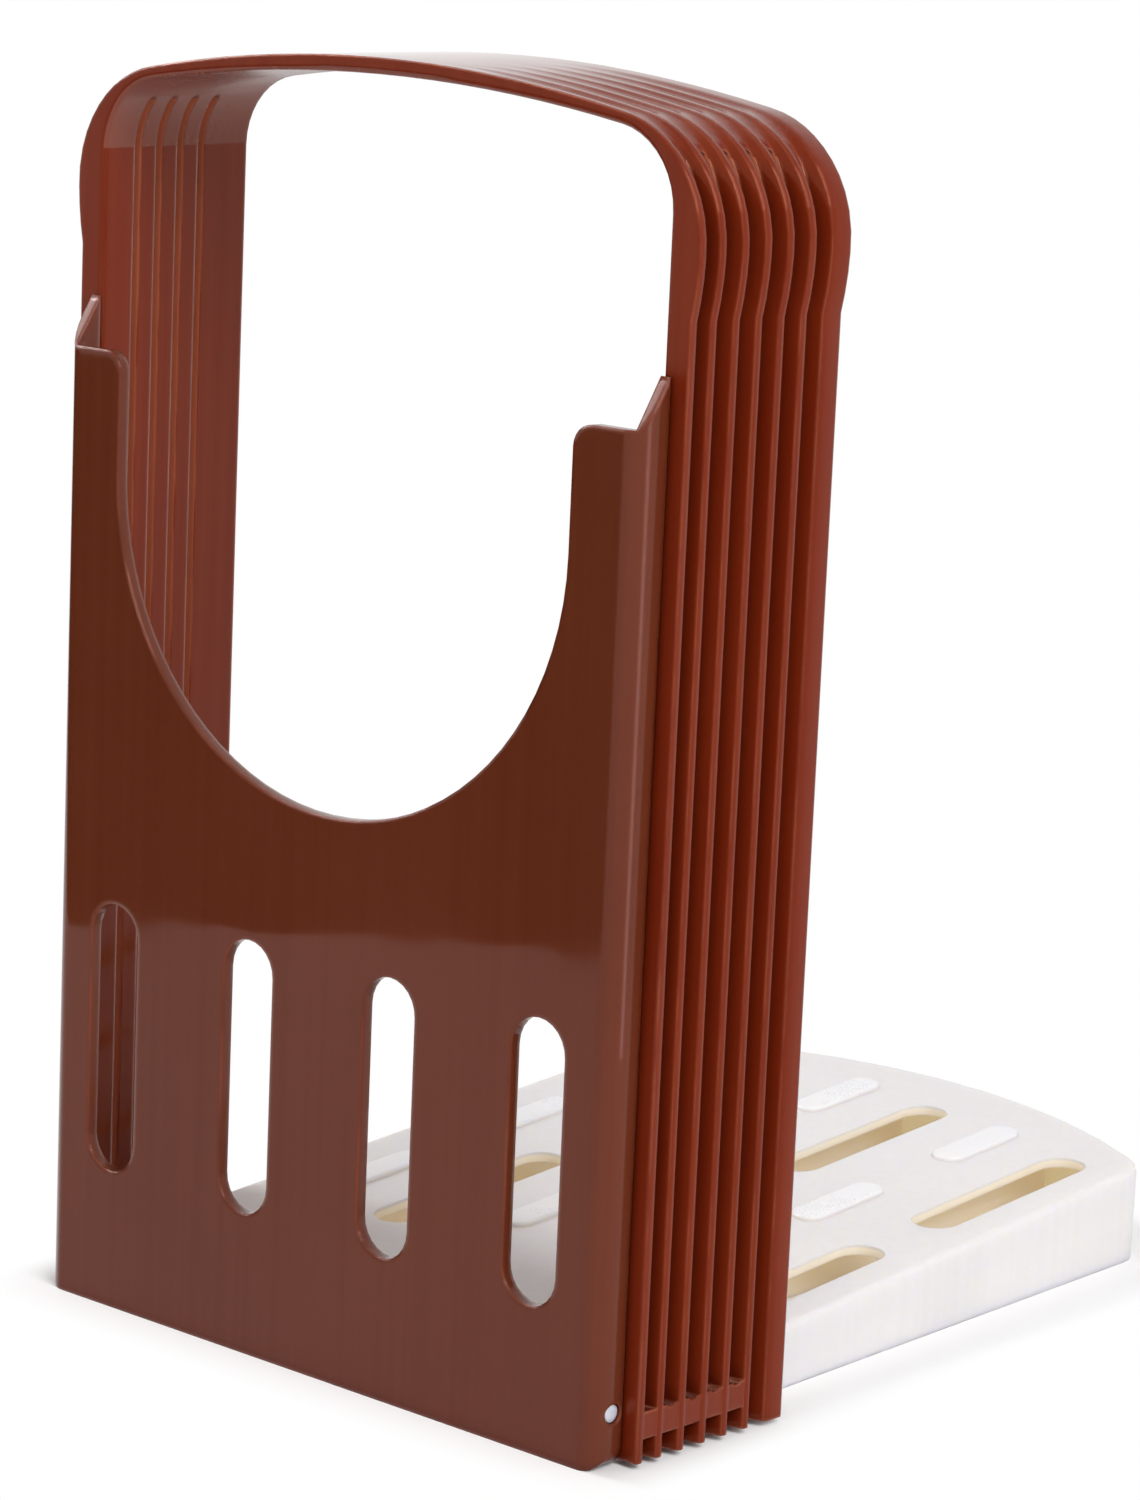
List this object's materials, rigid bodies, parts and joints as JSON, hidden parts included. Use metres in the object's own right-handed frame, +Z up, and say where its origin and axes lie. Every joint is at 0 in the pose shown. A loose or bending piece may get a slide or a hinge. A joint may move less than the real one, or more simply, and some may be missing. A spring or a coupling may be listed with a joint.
{
  "type": "bread slicing guide",
  "caption": "Folding bread slicing guide: slotted arch and stop plate in brown plastic, with a white sloping base that hinges up into the arch.",
  "frame": {"origin": "on the table, under the middle of the guide's whole depth and width", "axes": "+Z up, +Y away from the stop plate along the base, +X across the guide"},
  "size_m": [0.1534, 0.195, 0.2394],
  "materials": {
    "brown_plastic": "polished moulded ABS, chocolate brown",
    "white_plastic": "satin moulded ABS, white"
  },
  "bodies": {
    "frame": {"stop_plate": "brown_plastic", "slit_arch": "brown_plastic"},
    "base": {"base": "white_plastic"}
  },
  "joints": [
    {"name": "base_fold", "type": "hinge", "parent": "frame", "child": "base", "pos_m": [0, -0.093, 0.0102], "axis": [1, 0, 0], "range_deg": [0, 86]}
  ]
}
